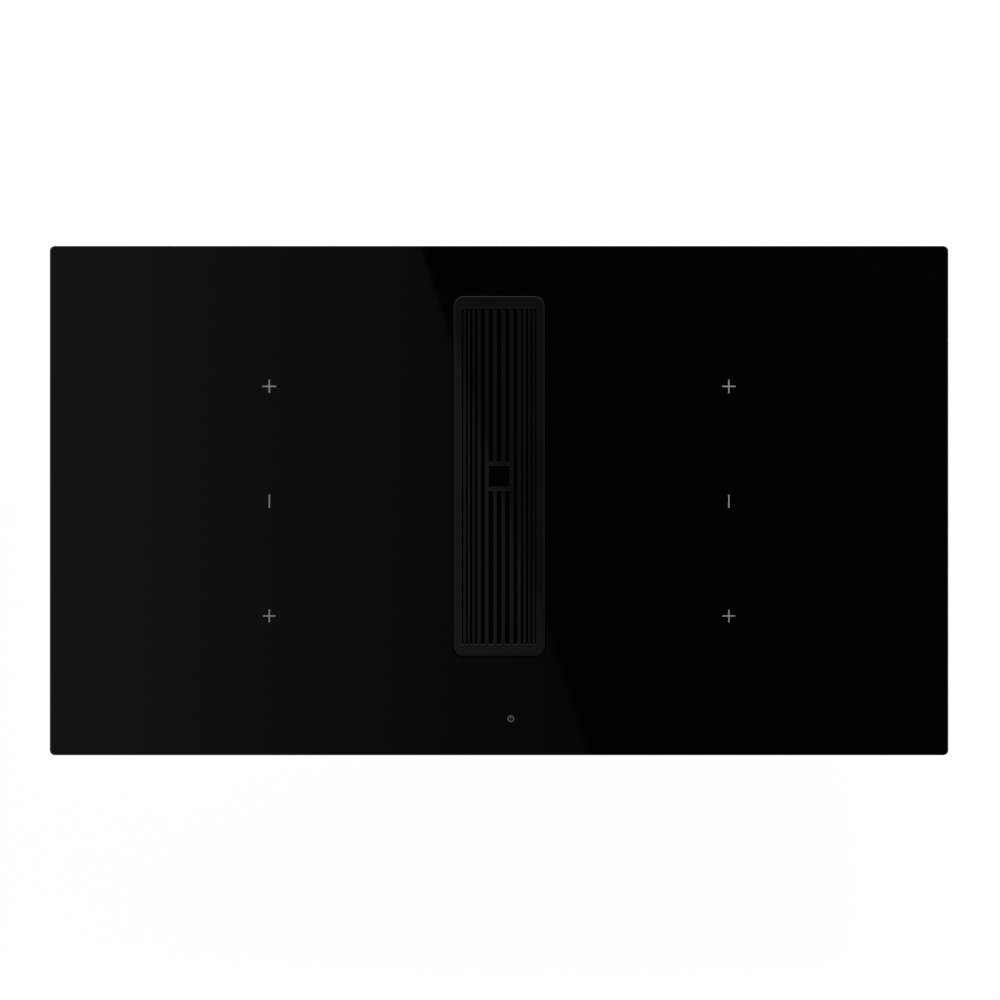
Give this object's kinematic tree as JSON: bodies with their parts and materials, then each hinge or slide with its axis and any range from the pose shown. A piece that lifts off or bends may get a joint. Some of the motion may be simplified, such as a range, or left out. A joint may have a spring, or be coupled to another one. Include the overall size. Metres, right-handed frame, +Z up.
{
  "type": "downdraft induction cooktop",
  "caption": "Flush black glass induction hob with a slotted central air inlet, lift-out grille and grease filter, and an extractor fan unit with a flat-duct outlet below.",
  "frame": {"origin": "on the worktop's surface, under the middle of the glass plate: the seal's underside is z = 0", "axes": "+X to the user's right along the glass's long side, +Y away from the user, +Z up out of the worktop"},
  "size_m": [0.9, 0.51, 0.2165],
  "materials": {
    "black_glass": "polished glass-ceramic, ground edge",
    "grille_enamel": "matt black enamel on a casting",
    "rubber": "soft black rubber",
    "foam_tape": "closed-cell foam tape",
    "silicone": "cured silicone adhesive",
    "zinc_sheet": "hot-dip galvanised sheet",
    "steel_screws": "bright zinc plate",
    "spring_steel": "drawn spring wire",
    "filter_black": "dark baked coating",
    "black_plastic": "fine-grained moulding",
    "grey_plastic": "fine-grained moulding",
    "white_plastic": "moulded terminal plastic",
    "aluminium_plate": "mill-finish sheet",
    "aluminium_fins": "extruded heat sink",
    "copper_litz": "enamelled copper strands",
    "ferrite": "pressed ferrite",
    "mica": "pressed mica paper",
    "circuit_board": "green solder mask",
    "component_black": "moulded package",
    "component_yellow": "film capacitor box",
    "motor_steel": "zinc-plated pressing",
    "lamination": "oxidised stack",
    "bearing_bronze": "sintered bronze",
    "cable_sheath": "soft cable sheath"
  },
  "bodies": {
    "chassis": {"glass_plate": "black_glass", "worktop_seal": "foam_tape", "glass_bond": "silicone", "inlet_collar": "black_plastic", "collar_gasket": "rubber", "air_shaft": "black_plastic", "casing_tub": "zinc_sheet", "induction_coils": "copper_litz", "coil_formers": "mica", "ferrite_bars": "ferrite", "coil_carriers": "aluminium_plate", "mica_sheets": "mica", "temperature_sensors": "white_plastic", "carrier_posts": "steel_screws", "carrier_springs": "spring_steel", "board_standoffs": "white_plastic", "power_boards": "circuit_board", "heat_sinks": "aluminium_fins", "power_transistors": "component_black", "film_capacitors": "component_yellow", "filter_chokes": "copper_litz", "cooling_fan_frames": "black_plastic", "touch_board": "circuit_board", "touch_tray": "grey_plastic", "touch_keys": "rubber", "display_modules": "component_black", "unit_shell": "black_plastic", "scroll_housing": "black_plastic", "inlet_plate": "black_plastic", "inlet_ring": "grey_plastic", "base_pan": "black_plastic", "outlet_socket": "black_plastic", "motor_can": "motor_steel", "motor_bearings": "bearing_bronze", "motor_stator": "lamination", "motor_mounts": "rubber", "motor_cable": "cable_sheath", "terminal_box": "grey_plastic", "terminal_block": "white_plastic", "cable_gland": "black_plastic", "mains_wires": "cable_sheath", "driver_box": "black_plastic", "driver_lid": "black_plastic", "driver_board": "circuit_board", "clamp_brackets": "zinc_sheet", "clamp_screws": "steel_screws", "unit_screws": "steel_screws"},
    "filter": {"filter_frame": "filter_black", "filter_meshes": "filter_black", "filter_handle": "black_plastic"},
    "grille": {"inlet_grille": "grille_enamel", "grille_pads": "rubber"},
    "tray": {"overflow_tray": "black_plastic"},
    "fan": {"fan_rotor": "grey_plastic", "rotor_vanes": "motor_steel", "motor_armature": "lamination"},
    "flap": {"backdraft_flap": "grey_plastic"},
    "cover": {"terminal_cover": "grey_plastic"},
    "cooling_fan_left": {"cooling_fan_rotor_left": "grey_plastic"},
    "cooling_fan_right": {"cooling_fan_rotor_right": "grey_plastic"}
  },
  "joints": [
    {"name": "filter_lift", "type": "slide", "parent": "chassis", "child": "filter", "axis": [0, 0, 1], "range_m": [0, 0.12]},
    {"name": "grille_lift", "type": "slide", "parent": "filter", "child": "grille", "axis": [0, 0, 1], "range_m": [0, 0.06]},
    {"name": "tray_pull", "type": "slide", "parent": "chassis", "child": "tray", "axis": [0, -1, 0], "range_m": [0, 0.3]},
    {"name": "fan_spin", "type": "hinge", "parent": "chassis", "child": "fan", "pos_m": [0.168, 0, -0.1], "axis": [0, 0, 1], "continuous": true},
    {"name": "flap_swing", "type": "hinge", "parent": "chassis", "child": "flap", "pos_m": [0.168, 0.125, -0.0685], "axis": [1, 0, 0], "range_deg": [0, 80]},
    {"name": "cover_swing", "type": "hinge", "parent": "chassis", "child": "cover", "pos_m": [-0.325, 0.2249, -0.0576], "axis": [1, 0, 0], "range_deg": [0, 85]},
    {"name": "cooling_fan_left_spin", "type": "hinge", "parent": "chassis", "child": "cooling_fan_left", "pos_m": [-0.245, 0.13, -0.04], "axis": [0, 0, 1], "continuous": true},
    {"name": "cooling_fan_right_spin", "type": "hinge", "parent": "chassis", "child": "cooling_fan_right", "pos_m": [0.245, 0.13, -0.04], "axis": [0, 0, 1], "continuous": true}
  ]
}
